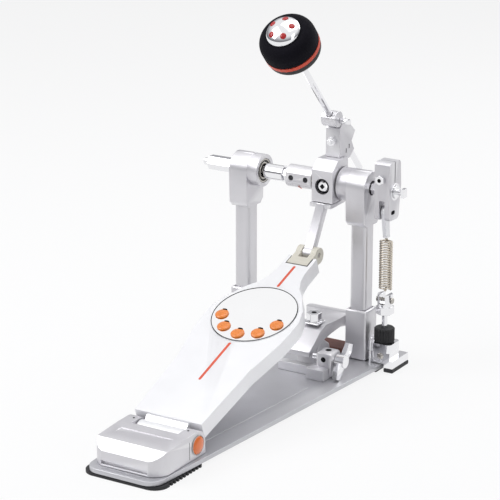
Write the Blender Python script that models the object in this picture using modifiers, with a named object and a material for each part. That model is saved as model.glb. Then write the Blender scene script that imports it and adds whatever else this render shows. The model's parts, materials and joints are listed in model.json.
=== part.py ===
"""Bass drum pedal, modelled in metres with +Z up and +Y towards the drum.

X = 0 is the footboard's centre plane, Y = 0 the axle and Z = 0 the floor.
"""

from math import cos, pi, radians, sin

import bmesh
import bpy
from mathutils import Euler, Matrix, Vector

# Frame and posts
AXLE_HEIGHT = 0.189
POST_SPACING = 0.138
RIGHT_POST_X = 0.0355
POST_SIDE = 0.018
SOCKET_SIDE = 0.0245
SOCKET_TOP = 0.061
HOUSING_DROP = 0.039
HOUSING_WIDTH = 0.0215
HOUSING_RADIUS = 0.0173
BOSS_LENGTH = 0.0115
BEARING_RADIUS = 0.0125
BEARING_DEPTH = 0.006
POST_DEPTH = 0.014

# Base
MAT_THICKNESS = 0.0027
PLATE_THICKNESS = 0.0045
BASE_FRONT_Y = -0.381
BASE_HEEL_HALF = 0.0385
BASE_TOE_HALF = 0.067
BASE_TOE_Y = 0.022
HEEL_MAT_LENGTH = 0.076

# Heel hinge and footboard
HINGE_Y = -0.311
HINGE_Z = 0.020
HINGE_ROD_RADIUS = 0.003
KNUCKLE_RADIUS = 0.0115
KNUCKLE_HALF = 0.0245
HEEL_BLOCK_HALF = 0.0385
BOARD_TILT = radians(19.84)
BOARD_ABOVE_HINGE = 0.0137
BOARD_SKIRT = 0.016
BOARD_SKIN = 0.004
BOARD_END = 0.268
PLATE_CENTRE = 0.170
PLATE_RADIUS = 0.043
DOT_CIRCLE = 0.0326
DOT_RADIUS = 0.0068
LINK_PIVOT_ALONG = 0.280
LINK_PIVOT_BELOW = 0.004
LINK_PIN_RADIUS = 0.0022
INSERT_HALF = 0.0117
INSERT_START = 0.2553

# Axle, hub and link
AXLE_FLATS = 0.011
STUB_FLATS = 0.014
AXLE_LEFT_X = -0.146
STUB_TIP = 0.007
HUB_HALF = 0.012
LEVER_LENGTH = 0.030
LEVER_RISE = radians(5)
LEVER_HALF = 0.0078
HUB_PIN_RADIUS = 0.0019
LINK_EYE_BORE = 0.0031
LINK_HALF = 0.0046
FORK_WALL = 0.0036
COLLAR_RADIUS = 0.0115
COLLAR_LENGTH = 0.030
COLLAR_FLAT = 0.0102
HUB_TOP = 0.0255
SLEEVE_RADIUS = 0.0082
SLEEVE_LENGTH = 0.021

# Beater
BEATER_LEAN = radians(42.5)
BEATER_CROSSING = 0.0637
SHAFT_RADIUS = 0.0033
SHAFT_BELOW = 0.085
HEAD_START = 0.1077
HEAD_RADIUS = 0.0285
HEAD_BASE = 0.0117
RING_THICKNESS = 0.004
FELT_LENGTH = 0.0206
CAP_RADIUS = 0.0175
CAP_HEIGHT = 0.0095
CLAMP_RADIUS = 0.0082
CLAMP_LENGTH = 0.0165

# Spring side
CAM_X = 0.063
CAM_HALF = 0.0085
CAM_FRONT = 0.0115
STRAP_HALF = 0.0022
STRAP_PIN_DROP = 0.021
STRAP_PIN_BACK = 0.003
STRAP_PIN_RADIUS = 0.0018
STRAP_BORE = 0.0033
SPRING_RADIUS = 0.0070
SPRING_WIRE = 0.0008
SPRING_BOTTOM = 0.086
SPRING_TOP_DROP = 0.0525
SPRING_TURNS = 12
CLEVIS_Z = 0.074
KNOB_Z = 0.030
KNOB_RADIUS = 0.0105
KNOB_HEIGHT = 0.0145
TENSION_ROD_RADIUS = 0.0029

# Hoop clamp
JAW_Y = -0.036
JAW_Z = 0.0334
JAW_HALF = 0.014
LIP_LEFT = -0.037
SCREW_Y = -0.063
SCREW_Z = 0.0245
WING_REACH = 0.0215
WING_X = 0.0485
WING_STEM_RADIUS = 0.0032

GAP = 0.0003
BASE_BOTTOM = MAT_THICKNESS + GAP
BASE_TOP = BASE_BOTTOM + PLATE_THICKNESS
SEAT = BASE_TOP + GAP
LEFT_POST_X = RIGHT_POST_X - POST_SPACING
ACROSS_X = Euler((0, pi / 2, 0))
HOUSING_BOTTOM = AXLE_HEIGHT - HOUSING_DROP
SPRING_TOP = AXLE_HEIGHT - SPRING_TOP_DROP
AXLE_CORNER = AXLE_FLATS / 2 / cos(pi / 6)
BEARING_BORE = AXLE_CORNER + 3 * GAP
HOUSING_BORE = BEARING_BORE + GAP

AXLE = Vector((0, 0, AXLE_HEIGHT))
HINGE = Vector((0, HINGE_Y, HINGE_Z))
BOARD_ALONG = Vector((0, cos(BOARD_TILT), sin(BOARD_TILT)))
BOARD_UP = Vector((0, -sin(BOARD_TILT), cos(BOARD_TILT)))
BOARD_START = HINGE + Vector((0, 0.0008, BOARD_ABOVE_HINGE))
LINK_PIVOT = BOARD_START + BOARD_ALONG * LINK_PIVOT_ALONG - BOARD_UP * LINK_PIVOT_BELOW
HUB_PIVOT = AXLE + LEVER_LENGTH * Vector((0, cos(LEVER_RISE), sin(LEVER_RISE)))
BEATER_UP = Vector((0, -sin(BEATER_LEAN), cos(BEATER_LEAN)))
BEATER_CROSS = AXLE + Vector((0, 0, BEATER_CROSSING))
STRAP_PIVOT = Vector((CAM_X, -STRAP_PIN_BACK, AXLE_HEIGHT - STRAP_PIN_DROP))
JAW_PIVOT = Vector((0, JAW_Y, JAW_Z))

for old in list(bpy.data.objects):
    bpy.data.objects.remove(old, do_unlink=True)

PARTS = bpy.data.collections.new("bass_drum_pedal")
CUTTERS = bpy.data.collections.new("cutters")
bpy.context.scene.collection.children.link(PARTS)
bpy.context.scene.collection.children.link(CUTTERS)


def material(name, color, roughness, metallic):
    made = bpy.data.materials.new(name)
    made.use_nodes = True
    shader = made.node_tree.nodes["Principled BSDF"]
    shader.inputs["Base Color"].default_value = (*color, 1)
    shader.inputs["Roughness"].default_value = roughness
    shader.inputs["Metallic"].default_value = metallic
    return made


SATIN = material("satin_casting", (0.60, 0.59, 0.62), 0.45, 0.9)
BRIGHT = material("bright_board", (0.80, 0.80, 0.82), 0.35, 0.9)
CHROME = material("chrome", (0.85, 0.85, 0.86), 0.08, 1.0)
STEEL = material("steel", (0.45, 0.45, 0.47), 0.35, 1.0)
DARK = material("dark_steel", (0.06, 0.06, 0.06), 0.4, 0.6)
RUBBER = material("black_rubber", (0.015, 0.015, 0.015), 0.8, 0.0)
BROWN = material("brown_rubber", (0.16, 0.07, 0.06), 0.7, 0.0)
FELT = material("black_felt", (0.008, 0.008, 0.01), 0.9, 0.0)
ORANGE = material("orange", (0.85, 0.22, 0.03), 0.3, 0.0)
RED = material("red_ring", (0.65, 0.08, 0.03), 0.4, 0.0)
CREAM = material("cream_nylon", (0.78, 0.74, 0.64), 0.45, 0.0)
MIRROR = material("mirror", (0.92, 0.92, 0.92), 0.03, 1.0)


def finish(part, shade, smooth=35):
    """Puts a modelled piece in its collection with its material."""
    for owner in list(part.users_collection):
        owner.objects.unlink(part)
    PARTS.objects.link(part)
    part.data.materials.clear()
    part.data.materials.append(shade)
    part.data.shade_smooth()
    part.data.set_sharp_from_angle(angle=radians(smooth))
    return part


def as_cutter(part):
    for owner in list(part.users_collection):
        owner.objects.unlink(part)
    CUTTERS.objects.link(part)
    part.hide_render = True
    part.display_type = "WIRE"
    return part


def combine(part, other, operation):
    step = part.modifiers.new(f"{operation.lower()} {other.name}", "BOOLEAN")
    step.operation = operation
    step.object = as_cutter(other)
    return part


def cut(part, *cutters):
    for cutter in cutters:
        combine(part, cutter, "DIFFERENCE")
    return part


def join(part, *others):
    for other in others:
        combine(part, other, "UNION")
    return part


def bevel(part, width, segments=2, angle=40):
    step = part.modifiers.new("rounded edges", "BEVEL")
    step.width = width
    step.segments = segments
    step.limit_method = "ANGLE"
    step.angle_limit = radians(angle)
    return part


def box(name, low, high, turn=None):
    """A box between two corners, with its origin in its middle."""
    low, high = Vector(low), Vector(high)
    bpy.ops.mesh.primitive_cube_add(size=1)
    part = bpy.context.object
    part.name = name
    size = high - low
    part.data.transform(Matrix.Diagonal((*size, 1)))
    part.location = (low + high) / 2
    part.rotation_euler = turn or Euler((0, 0, 0))
    return part


def rod(name, radius, length, centre, turn=ACROSS_X, sides=20):
    """A straight round or many-sided bar along the turned Z axis."""
    bpy.ops.mesh.primitive_cylinder_add(vertices=sides, radius=radius, depth=length)
    part = bpy.context.object
    part.name = name
    part.location = centre
    part.rotation_euler = turn
    return part


def hex_bar(name, flats, length, centre, turn=ACROSS_X):
    return rod(name, flats / 2 / cos(pi / 6), length, centre, turn, sides=6)


def turned(name, profile, place, turn=Euler((0, 0, 0)), steps=24, ring=False):
    """A shape turned about its own Z axis; the profile runs down its outer side."""
    mesh = bpy.data.meshes.new(name)
    edges = [(i, i + 1) for i in range(len(profile) - 1)]
    if ring:
        edges.append((len(profile) - 1, 0))
    mesh.from_pydata([(r, 0, z) for r, z in profile], edges, [])
    part = bpy.data.objects.new(name, mesh)
    bpy.context.scene.collection.objects.link(part)
    spin = part.modifiers.new("turn", "SCREW")
    spin.steps = steps
    spin.render_steps = steps
    spin.use_merge_vertices = True
    spin.merge_threshold = 0.00001
    part.location = place
    part.rotation_euler = turn
    return part


def arc(centre, radius, start, end, count=8):
    """Points of an arc between two angles in degrees."""
    sweep = radians(end - start)
    angles = [radians(start) + sweep * i / count for i in range(count + 1)]
    return [(centre[0] + radius * cos(a), centre[1] + radius * sin(a)) for a in angles]


def rounded(points, radius, count=4):
    """An outline with each corner replaced by an arc."""
    result = []
    for i, corner in enumerate(points):
        here = Vector(corner)
        before = (Vector(points[i - 1]) - here).normalized()
        after = (Vector(points[(i + 1) % len(points)]) - here).normalized()
        half = before.angle(after) / 2
        reach = radius / abs(sin(half)) * cos(half)
        start, end = here + before * reach, here + after * reach
        centre = here + (before + after).normalized() * radius / abs(sin(half))
        for step in range(count + 1):
            spoke = (start - centre).lerp(end - centre, step / count).normalized()
            result.append(tuple(centre + spoke * radius))
    return result


def outline(name, points, thickness, frame):
    """A flat outline made solid, half its thickness to each side of its plane."""
    curve = bpy.data.curves.new(name, "CURVE")
    curve.dimensions = "2D"
    curve.fill_mode = "BOTH"
    curve.extrude = thickness / 2
    spline = curve.splines.new("POLY")
    spline.points.add(len(points) - 1)
    for point, (x, y) in zip(spline.points, points):
        point.co = (x, y, 0, 1)
    spline.use_cyclic_u = True
    guide = bpy.data.objects.new(name, curve)
    bpy.context.scene.collection.objects.link(guide)
    bpy.context.view_layer.update()
    graph = bpy.context.evaluated_depsgraph_get()
    mesh = bpy.data.meshes.new_from_object(guide.evaluated_get(graph))
    bpy.data.objects.remove(guide)
    welded = bmesh.new()
    welded.from_mesh(mesh)
    bmesh.ops.remove_doubles(welded, verts=welded.verts, dist=0.00001)
    welded.to_mesh(mesh)
    welded.free()
    part = bpy.data.objects.new(name, mesh)
    bpy.context.scene.collection.objects.link(part)
    part.matrix_world = frame
    return part


def side_frame(x, origin=(0, 0)):
    """Outline x runs along +Y, outline y along +Z, thickness along X."""
    columns = Matrix(((0, 0, 1), (1, 0, 0), (0, 1, 0)))
    return Matrix.Translation((x, *origin)) @ columns.to_4x4()


def plan_frame(z):
    return Matrix.Translation((0, 0, z))


def board_frame(below):
    """Outline x runs across the footboard, outline y along it from the heel."""
    columns = Matrix((Vector((1, 0, 0)), BOARD_ALONG, BOARD_UP)).transposed()
    return Matrix.Translation(BOARD_START - BOARD_UP * below) @ columns.to_4x4()


def pivot_on(part, point):
    """Moves a piece's origin to its joint without moving the piece."""
    bpy.context.view_layer.update()
    shift = part.matrix_world.inverted() @ Vector(point)
    part.data.transform(Matrix.Translation(-shift))
    part.matrix_world = part.matrix_world @ Matrix.Translation(shift)
    return part


def base_half(y):
    """Half the plate's width, which grows evenly from heel to toe."""
    share = (y - BASE_FRONT_Y) / (BASE_TOE_Y - BASE_FRONT_Y)
    return BASE_HEEL_HALF + (BASE_TOE_HALF - BASE_HEEL_HALF) * share


def corner_arc(x, y, radius, start):
    return arc((x, y), radius, start, start + 90, 6)


def heel_outline(back_y, inset=0.0):
    """The rounded heel end of the plate, open at back_y."""
    radius = 0.014
    half = BASE_HEEL_HALF + 0.001 - inset
    front = BASE_FRONT_Y + inset
    left = corner_arc(-half + radius, front + radius, radius, 180)
    right = corner_arc(half - radius, front + radius, radius, 270)
    return [(-base_half(back_y) + inset, back_y), *left, *right, (base_half(back_y) - inset, back_y)]


def make_base():
    toe_front = -SOCKET_SIDE / 2 - 0.006
    left_end = LEFT_POST_X - SOCKET_SIDE / 2 - 0.005
    points = heel_outline(toe_front)[1:-1]
    points += [
        (base_half(BASE_TOE_Y), BASE_TOE_Y),
        (left_end, BASE_TOE_Y),
        (left_end, toe_front),
        (-base_half(toe_front), toe_front),
    ]
    middle = (BASE_BOTTOM + BASE_TOP) / 2
    plate = outline("base_plate", points, PLATE_THICKNESS, plan_frame(middle))
    slope = (BASE_TOE_HALF - BASE_HEEL_HALF) / (BASE_TOE_Y - BASE_FRONT_Y)
    for side in (-1, 1):
        groove = box(f"groove_cutter_{side}", (-0.0008, -0.1, -0.001), (0.0008, 0.1, 0.001))
        groove.location = (side * 0.028, -0.205, BASE_TOP)
        groove.rotation_euler = Euler((0, 0, -side * slope))
        cut(plate, groove)
    finish(plate, SATIN)

    back = BASE_FRONT_Y + HEEL_MAT_LENGTH
    mat = outline("heel_mat", heel_outline(back), MAT_THICKNESS, plan_frame(MAT_THICKNESS / 2))
    finish(mat, RUBBER)
    pad = box(
        "toe_mat",
        (left_end + 0.002, toe_front + 0.002, 0),
        (BASE_TOE_HALF - 0.004, BASE_TOE_Y - 0.002, MAT_THICKNESS),
    )
    finish(bevel(pad, 0.002), RUBBER)


def make_heel_block():
    front, back = BASE_FRONT_Y + 0.009, HINGE_Y + 0.0129
    top = HINGE_Z + 0.0132
    points = [
        (front, SEAT),
        (front, SEAT + 0.0145),
        (front + 0.012, SEAT + 0.0225),
        (HINGE_Y - 0.016, top - 0.0005),
        *arc((HINGE_Y, HINGE_Z), top - HINGE_Z, 100, 15, 6),
        (back, SEAT),
    ]
    block = outline("heel_block", points, 2 * HEEL_BLOCK_HALF, side_frame(0))
    radius = 0.020
    nose = [
        (-HEEL_BLOCK_HALF - 0.001, back + 0.002),
        *corner_arc(-HEEL_BLOCK_HALF - 0.001 + radius, front - 0.001 + radius, radius, 180),
        *corner_arc(HEEL_BLOCK_HALF + 0.001 - radius, front - 0.001 + radius, radius, 270),
        (HEEL_BLOCK_HALF + 0.001, back + 0.002),
    ]
    combine(block, outline("nose_shape", nose, 0.08, plan_frame(0.03)), "INTERSECT")
    half = KNUCKLE_HALF + 3 * GAP
    slot_front = HINGE_Y - KNUCKLE_RADIUS - 0.001
    cut(
        block,
        box("knuckle_cutter", (-half, slot_front, SEAT - 0.01), (half, back + 0.01, top + 0.01)),
        rod("rod_cutter", HINGE_ROD_RADIUS + GAP, 0.1, HINGE, sides=12),
        box("vent_cutter", (-0.026, front - 0.01, 0.0095), (0.024, front + 0.003, 0.0128)),
        box("label_cutter", (-0.028, front + 0.021, top - 0.0019), (0.028, front + 0.036, top + 0.01)),
    )
    finish(block, SATIN)

    length = 2 * HEEL_BLOCK_HALF - 0.001
    finish(rod("hinge_rod", HINGE_ROD_RADIUS, length, HINGE, sides=12), STEEL)
    radius, height = 0.0087, 0.0028
    dome = [(0, height), *[(radius * sin(a), height * cos(a)) for a in (0.5, 1.0, 1.35)]]
    dome += [(radius, 0), (0, 0)]
    place = HINGE + Vector((HEEL_BLOCK_HALF + GAP, 0, 0))
    finish(turned("hinge_cap", dome, place, ACROSS_X, 20), ORANGE)


def board_half(along):
    """Half width of the footboard at a distance from the heel, from a few stations."""
    stations = [(0.0, 0.0368), (0.09, 0.0405), (0.135, 0.0485), (0.165, 0.0505), (0.188, 0.0445)]
    stations += [(0.205, 0.034), (0.218, 0.0240), (0.230, 0.0185), (0.243, 0.0163), (0.30, 0.0156)]
    for (a, wide), (b, narrow) in zip(stations, stations[1:]):
        if along <= b:
            share = (along - a) / (b - a)
            smooth = share * share * (3 - 2 * share)
            return wide + (narrow - wide) * smooth
    return stations[-1][1]


def board_outline(start, end, inset):
    stations = [start, 0.05, 0.09, 0.113, 0.135, 0.152, 0.170, 0.188, 0.198, 0.208, 0.218, 0.230, 0.243]
    stations = [s for s in stations if start <= s < end] + [end]
    right = [(board_half(s) - inset, s) for s in stations]
    left = [(-x, s) for x, s in reversed(right)]
    return right + left


def make_footboard():
    start = 0.0085
    board = outline(
        "footboard",
        board_outline(start, BOARD_END, 0),
        BOARD_SKIRT,
        board_frame(BOARD_SKIRT / 2),
    )
    inside = outline(
        "hollow_cutter",
        board_outline(start + 0.004, 0.243, 0.0035),
        BOARD_SKIRT,
        board_frame(BOARD_SKIN + BOARD_SKIRT / 2),
    )
    cut(board, inside)
    web_points = [
        (HINGE_Y - 0.004, HINGE_Z),
        (HINGE_Y + 0.009, HINGE_Z - 0.004),
        (HINGE_Y + 0.026, HINGE_Z + 0.014),
        (HINGE_Y + 0.026, HINGE_Z + 0.0205),
        (HINGE_Y + 0.0085, HINGE_Z + 0.0145),
    ]
    web = outline("web_shape", web_points, 2 * KNUCKLE_HALF - 0.003, side_frame(0))
    knuckle = rod("knuckle_shape", KNUCKLE_RADIUS, 2 * KNUCKLE_HALF, HINGE, sides=28)
    join(board, web, knuckle)
    insert_gap = INSERT_HALF + GAP
    notch = [(-insert_gap, INSERT_START - GAP), (insert_gap, INSERT_START - GAP)]
    notch += [(insert_gap, 0.31), (-insert_gap, 0.31)]
    disc_place = BOARD_START + BOARD_ALONG * PLATE_CENTRE
    board_turn = Euler((BOARD_TILT, 0, 0))
    recess = rod("disc_cutter", PLATE_RADIUS + GAP, 0.003, disc_place, board_turn, 48)
    cut(
        board,
        outline("insert_cutter", notch, 0.06, board_frame(0.01)),
        rod("hinge_cutter", HINGE_ROD_RADIUS + GAP, 0.1, HINGE, sides=12),
        recess,
    )
    finish(pivot_on(board, HINGE), BRIGHT)

    disc_place = disc_place - BOARD_UP * (0.0015 - GAP - 0.0008)
    disc = rod("traction_plate", PLATE_RADIUS, 0.0016, disc_place, board_turn, 48)
    finish(pivot_on(disc, HINGE), MIRROR)
    top_of_disc = disc_place + BOARD_UP * 0.0008
    for number, angle in enumerate((198, 234, 270, 306, 342), start=1):
        across = DOT_CIRCLE * cos(radians(angle))
        along = DOT_CIRCLE * sin(radians(angle))
        place = top_of_disc + Vector((across, 0, 0)) + BOARD_ALONG * along
        place = place + BOARD_UP * (GAP + 0.0006)
        dot = rod(f"traction_dot_{number}", DOT_RADIUS, 0.0012, place, board_turn, 16)
        finish(pivot_on(dot, HINGE), ORANGE)


def make_toe_insert():
    height = 0.0135
    block_points = [(-INSERT_HALF, INSERT_START), (INSERT_HALF, INSERT_START)]
    block_points += [(INSERT_HALF, LINK_PIVOT_ALONG), (-INSERT_HALF, LINK_PIVOT_ALONG)]
    insert = outline("toe_insert", block_points, height, board_frame(height / 2 - 0.0006))
    ears = rod("ear_shape", 0.0085, 2 * INSERT_HALF, LINK_PIVOT - BOARD_UP * 0.0012, sides=24)
    join(insert, ears)
    half = LINK_HALF + 2 * GAP
    slot = [(-half, 0.2675), (half, 0.2675), (half, 0.31), (-half, 0.31)]
    cut(
        insert,
        outline("slot_cutter", slot, 0.06, board_frame(0)),
        rod("link_pin_cutter", LINK_PIN_RADIUS + GAP, 0.05, LINK_PIVOT, sides=12),
    )
    finish(pivot_on(insert, HINGE), CREAM)
    pin = rod("link_pin", LINK_PIN_RADIUS, 2 * INSERT_HALF - 0.001, LINK_PIVOT, sides=12)
    finish(pivot_on(pin, HINGE), STEEL)


def make_link():
    """The direct-drive link: a knuckle, an arm and a fork round the hub."""
    shoulder = AXLE + Vector((0, -0.020, -0.0195))
    arm_start = (LINK_PIVOT.y, LINK_PIVOT.z)
    arm_end = (shoulder.y, shoulder.z)
    lean = (Vector(arm_end) - Vector(arm_start)).normalized()
    across = Vector((lean.y, -lean.x)) * 0.0045
    arm_points = [
        tuple(Vector(arm_start) + across),
        tuple(Vector(arm_end) + across),
        tuple(Vector(arm_end) - across),
        tuple(Vector(arm_start) - across),
    ]
    link = outline("link", arm_points, 2 * LINK_HALF, side_frame(0))
    knuckle = rod("link_knuckle", 0.0062, 2 * LINK_HALF - 0.0002, LINK_PIVOT, sides=24)
    outer = LEVER_HALF + 2 * GAP + FORK_WALL
    z = AXLE_HEIGHT
    bridge_points = [(-0.0245, z - 0.0215), (-0.0245, z - 0.0176), (-0.011, z - 0.0176), (-0.011, z - 0.0215)]
    bridge = outline("fork_bridge", bridge_points, 2 * outer, side_frame(0))
    eye = (HUB_PIVOT.y, HUB_PIVOT.z)
    cheek_points = [
        (-0.0235, z - 0.0212),
        (0.004, z - 0.0208),
        (0.021, z - 0.0165),
        *arc(eye, 0.0062, -50, 175, 8),
        (0.0165, z - 0.0095),
        (0.002, z - 0.0139),
        (-0.006, z - 0.0177),
        (-0.0235, z - 0.0180),
    ]
    cheeks = []
    for side in (-1, 1):
        x = side * (outer - FORK_WALL / 2)
        cheeks.append(outline(f"fork_cheek_{side}", cheek_points, FORK_WALL, side_frame(x)))
    join(link, knuckle, bridge, *cheeks)
    cut(
        link,
        rod("link_bore", LINK_PIN_RADIUS + GAP, 0.03, LINK_PIVOT, sides=12),
        rod("eye_bore", LINK_EYE_BORE, 0.05, HUB_PIVOT, sides=16),
    )
    finish(pivot_on(link, LINK_PIVOT), SATIN)


def make_hub():
    z = AXLE_HEIGHT
    points = [
        (-0.021, z - 0.0168),
        (-0.021, z + 0.016),
        (-0.010, z + HUB_TOP),
        (0.010, z + HUB_TOP),
        *arc((0, z), 0.0130, 30, -80, 7),
        (-0.007, z - 0.0168),
    ]
    hub = outline("hub", points, 2 * HUB_HALF, side_frame(0))
    eye = (HUB_PIVOT.y, HUB_PIVOT.z)
    lever_points = [(0.0, z + 0.0095), *arc(eye, 0.0052, 80, -100, 8), (0.0, z - 0.0095)]
    lever = outline("lever_shape", lever_points, 2 * LEVER_HALF, side_frame(0))
    join(hub, lever)
    bolt_place = Vector((0, -0.021, z - 0.0005))
    facing = Euler((pi / 2, 0, 0))
    cut(
        hub,
        hex_bar("hub_bore", AXLE_FLATS + 2 * GAP, 0.06, AXLE),
        rod("recess_cutter", 0.0082, 0.010, bolt_place, facing, 24),
        rod("hub_pin_cutter", HUB_PIN_RADIUS + GAP, 0.05, HUB_PIVOT, sides=12),
    )
    finish(pivot_on(hub, AXLE), SATIN)

    bolt = rod("hub_bolt", 0.0055, 0.0042, bolt_place + Vector((0, 0.0025, 0)), facing, 12)
    finish(pivot_on(bevel(bolt, 0.001, 1), AXLE), CHROME)
    length = 2 * (LEVER_HALF + 2 * GAP + FORK_WALL) + 0.0004
    pin = rod("hub_pin", HUB_PIN_RADIUS, length, HUB_PIVOT, sides=12)
    finish(pivot_on(pin, AXLE), STEEL)


def make_axle():
    right_end = CAM_X + CAM_HALF - 0.002
    middle = (AXLE_LEFT_X + right_end) / 2
    axle = hex_bar("axle", AXLE_FLATS, right_end - AXLE_LEFT_X, AXLE + Vector((middle, 0, 0)))
    outer_face = LEFT_POST_X - HOUSING_WIDTH / 2 - 0.0015
    stub_length = outer_face - AXLE_LEFT_X
    stub_place = AXLE + Vector((AXLE_LEFT_X + stub_length / 2 - 0.0002, 0, 0))
    stub = hex_bar("stub_shape", STUB_FLATS, stub_length, stub_place)
    tip_place = AXLE + Vector((AXLE_LEFT_X - STUB_TIP / 2 + 0.001, 0, 0))
    tip = rod("tip_shape", 0.0038, STUB_TIP + 0.002, tip_place, sides=12)
    finish(pivot_on(join(axle, stub, tip), AXLE), CHROME)

    boss_face = LEFT_POST_X + HOUSING_WIDTH / 2 + BOSS_LENGTH + 0.002
    place = AXLE + Vector((boss_face + 0.0015 + SLEEVE_LENGTH / 2, 0, 0))
    sleeve = rod("axle_sleeve", SLEEVE_RADIUS, SLEEVE_LENGTH, place, sides=20)
    cut(sleeve, hex_bar("sleeve_bore", AXLE_FLATS + 2 * GAP, 0.05, place))
    finish(pivot_on(sleeve, AXLE), CHROME)


def make_collar():
    middle = -HUB_HALF - 0.0075 - COLLAR_LENGTH / 2
    place = AXLE + Vector((middle, 0, 0))
    collar = rod("collar", COLLAR_RADIUS, COLLAR_LENGTH, place, sides=28)
    low = AXLE + Vector((middle - 0.02, -0.02, -0.02))
    high = AXLE + Vector((middle + 0.02, -COLLAR_FLAT, 0.02))
    cut(collar, hex_bar("collar_bore", AXLE_FLATS + 2 * GAP, 0.05, place), box("flat_cutter", low, high))
    facing = Euler((pi / 2, 0, 0))
    for number, offset in enumerate((-0.0085, 0.0085), start=1):
        hole = AXLE + Vector((middle + offset, -COLLAR_FLAT, 0))
        cut(collar, rod(f"screw_hole_{number}", 0.0029, 0.006, hole, facing, 12))
        screw = rod(f"collar_screw_{number}", 0.0025, 0.002, hole + Vector((0, 0.0016, 0)), facing, 12)
        finish(pivot_on(screw, AXLE), DARK)
    finish(pivot_on(collar, AXLE), SATIN)


def make_holder():
    """The beater holder on the hub, its clamp and their key screws."""
    z = AXLE_HEIGHT
    foot = z + HUB_TOP + GAP
    points = [
        (0.0, foot),
        (0.0, z + 0.0555),
        (0.010, z + 0.0660),
        (0.032, z + 0.0480),
        (0.0245, z + 0.0385),
        (0.030, z + 0.0290),
        (0.0215, foot - 0.004),
        (0.0105, foot - 0.004),
        (0.0105, foot),
    ]
    holder = outline("beater_holder", points, 0.016, side_frame(0))
    lean = Euler((BEATER_LEAN, 0, 0))
    clamp_centre = BEATER_CROSS + BEATER_UP * 0.0035
    shaft_cutter = rod("shaft_cutter", SHAFT_RADIUS + GAP, 0.2, BEATER_CROSS, lean, 16)
    clear_cutter = rod("clamp_clearance", CLAMP_RADIUS + GAP, 0.03, clamp_centre, sides=24)
    cut(holder, shaft_cutter, clear_cutter)
    finish(pivot_on(bevel(holder, 0.0006, 1), AXLE), SATIN)

    clamp = rod("clamp_cylinder", CLAMP_RADIUS, CLAMP_LENGTH, clamp_centre, sides=24)
    cut(clamp, rod("shaft_cutter_2", SHAFT_RADIUS + GAP, 0.2, BEATER_CROSS, lean, 16))
    finish(pivot_on(clamp, AXLE), SATIN)

    bolt_place = clamp_centre + Vector((CLAMP_LENGTH / 2 + GAP + 0.0035, 0.003, -0.002))
    bolt = rod("clamp_bolt", 0.003, 0.007, bolt_place, sides=12)
    head = box("bolt_head_shape", (-0.002, -0.0022, -0.0022), (0.002, 0.0022, 0.0022))
    head.location = bolt_place + Vector((0.005, 0, 0))
    finish(pivot_on(join(bolt, head), AXLE), CHROME)

    facing = Euler((pi / 2, 0, 0))
    screw_place = AXLE + Vector((0, -0.0022 - GAP, 0.0425))
    screw = rod("holder_screw", 0.0046, 0.0044, screw_place, facing, 16)
    key = box("screw_key_shape", (-0.002, -0.0022, -0.002), (0.002, 0.0022, 0.002))
    key.location = screw_place + Vector((0, -0.0035, 0))
    finish(pivot_on(join(screw, key), AXLE), CHROME)


def make_beater():
    lean = Euler((BEATER_LEAN, 0, 0))
    bore = SHAFT_RADIUS + GAP
    shaft_top = HEAD_START + HEAD_BASE + RING_THICKNESS + FELT_LENGTH - 0.004
    middle = BEATER_CROSS + BEATER_UP * (shaft_top - SHAFT_BELOW) / 2
    shaft = rod("beater_shaft", SHAFT_RADIUS, shaft_top + SHAFT_BELOW, middle, lean, 16)
    finish(pivot_on(bevel(shaft, 0.0008, 1), BEATER_CROSS), CHROME)

    base_top, ring_top = HEAD_BASE, HEAD_BASE + GAP + RING_THICKNESS
    felt_low = ring_top + GAP
    felt_top = felt_low + FELT_LENGTH
    wide = HEAD_RADIUS
    shapes = {
        "beater_base": (
            [
                (wide - 0.0006, base_top),
                (wide - 0.001, base_top - 0.004),
                (wide - 0.005, base_top - 0.009),
                (0.016, 0),
                (bore, 0),
                (bore, base_top),
            ],
            RUBBER,
        ),
        "beater_ring": (
            [(wide, ring_top), (wide, base_top + GAP), (bore, base_top + GAP), (bore, ring_top)],
            RED,
        ),
        "beater_felt": (
            [
                (CAP_RADIUS, felt_top),
                (wide - 0.0045, felt_top - 0.003),
                (wide, felt_top - 0.010),
                (wide, felt_low),
                (bore, felt_low),
                (bore, felt_top),
            ],
            FELT,
        ),
    }
    for name, (profile, shade) in shapes.items():
        place = BEATER_CROSS + BEATER_UP * HEAD_START
        finish(pivot_on(turned(name, profile, place, lean, 32, ring=True), BEATER_CROSS), shade)
    place = BEATER_CROSS + BEATER_UP * (HEAD_START + felt_top + GAP)
    dome = [(0, CAP_HEIGHT)]
    dome += [(CAP_RADIUS * sin(a), CAP_HEIGHT * cos(a)) for a in (0.4, 0.8, 1.2)]
    dome += [(CAP_RADIUS, 0), (0, 0)]
    finish(pivot_on(turned("beater_cap", dome, place, lean, 32), BEATER_CROSS), CHROME)


def make_post(side, x):
    half, gap = POST_SIDE / 2, GAP
    low, high = SOCKET_TOP - POST_DEPTH, HOUSING_BOTTOM + POST_DEPTH
    post = box(f"post_{side}", (x - half, -half, low), (x + half, half, high))
    finish(bevel(post, 0.0035, 3), SATIN)

    big = SOCKET_SIDE / 2
    socket = box(f"post_socket_{side}", (x - big, -big, SEAT), (x + big, big, SOCKET_TOP))
    bevel(socket, 0.0022)
    hole_low = (x - half - gap, -half - gap, low - gap)
    hole = box(f"socket_cutter_{side}", hole_low, (x + half + gap, half + gap, SOCKET_TOP + 0.01))
    finish(cut(socket, hole), SATIN)


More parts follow.
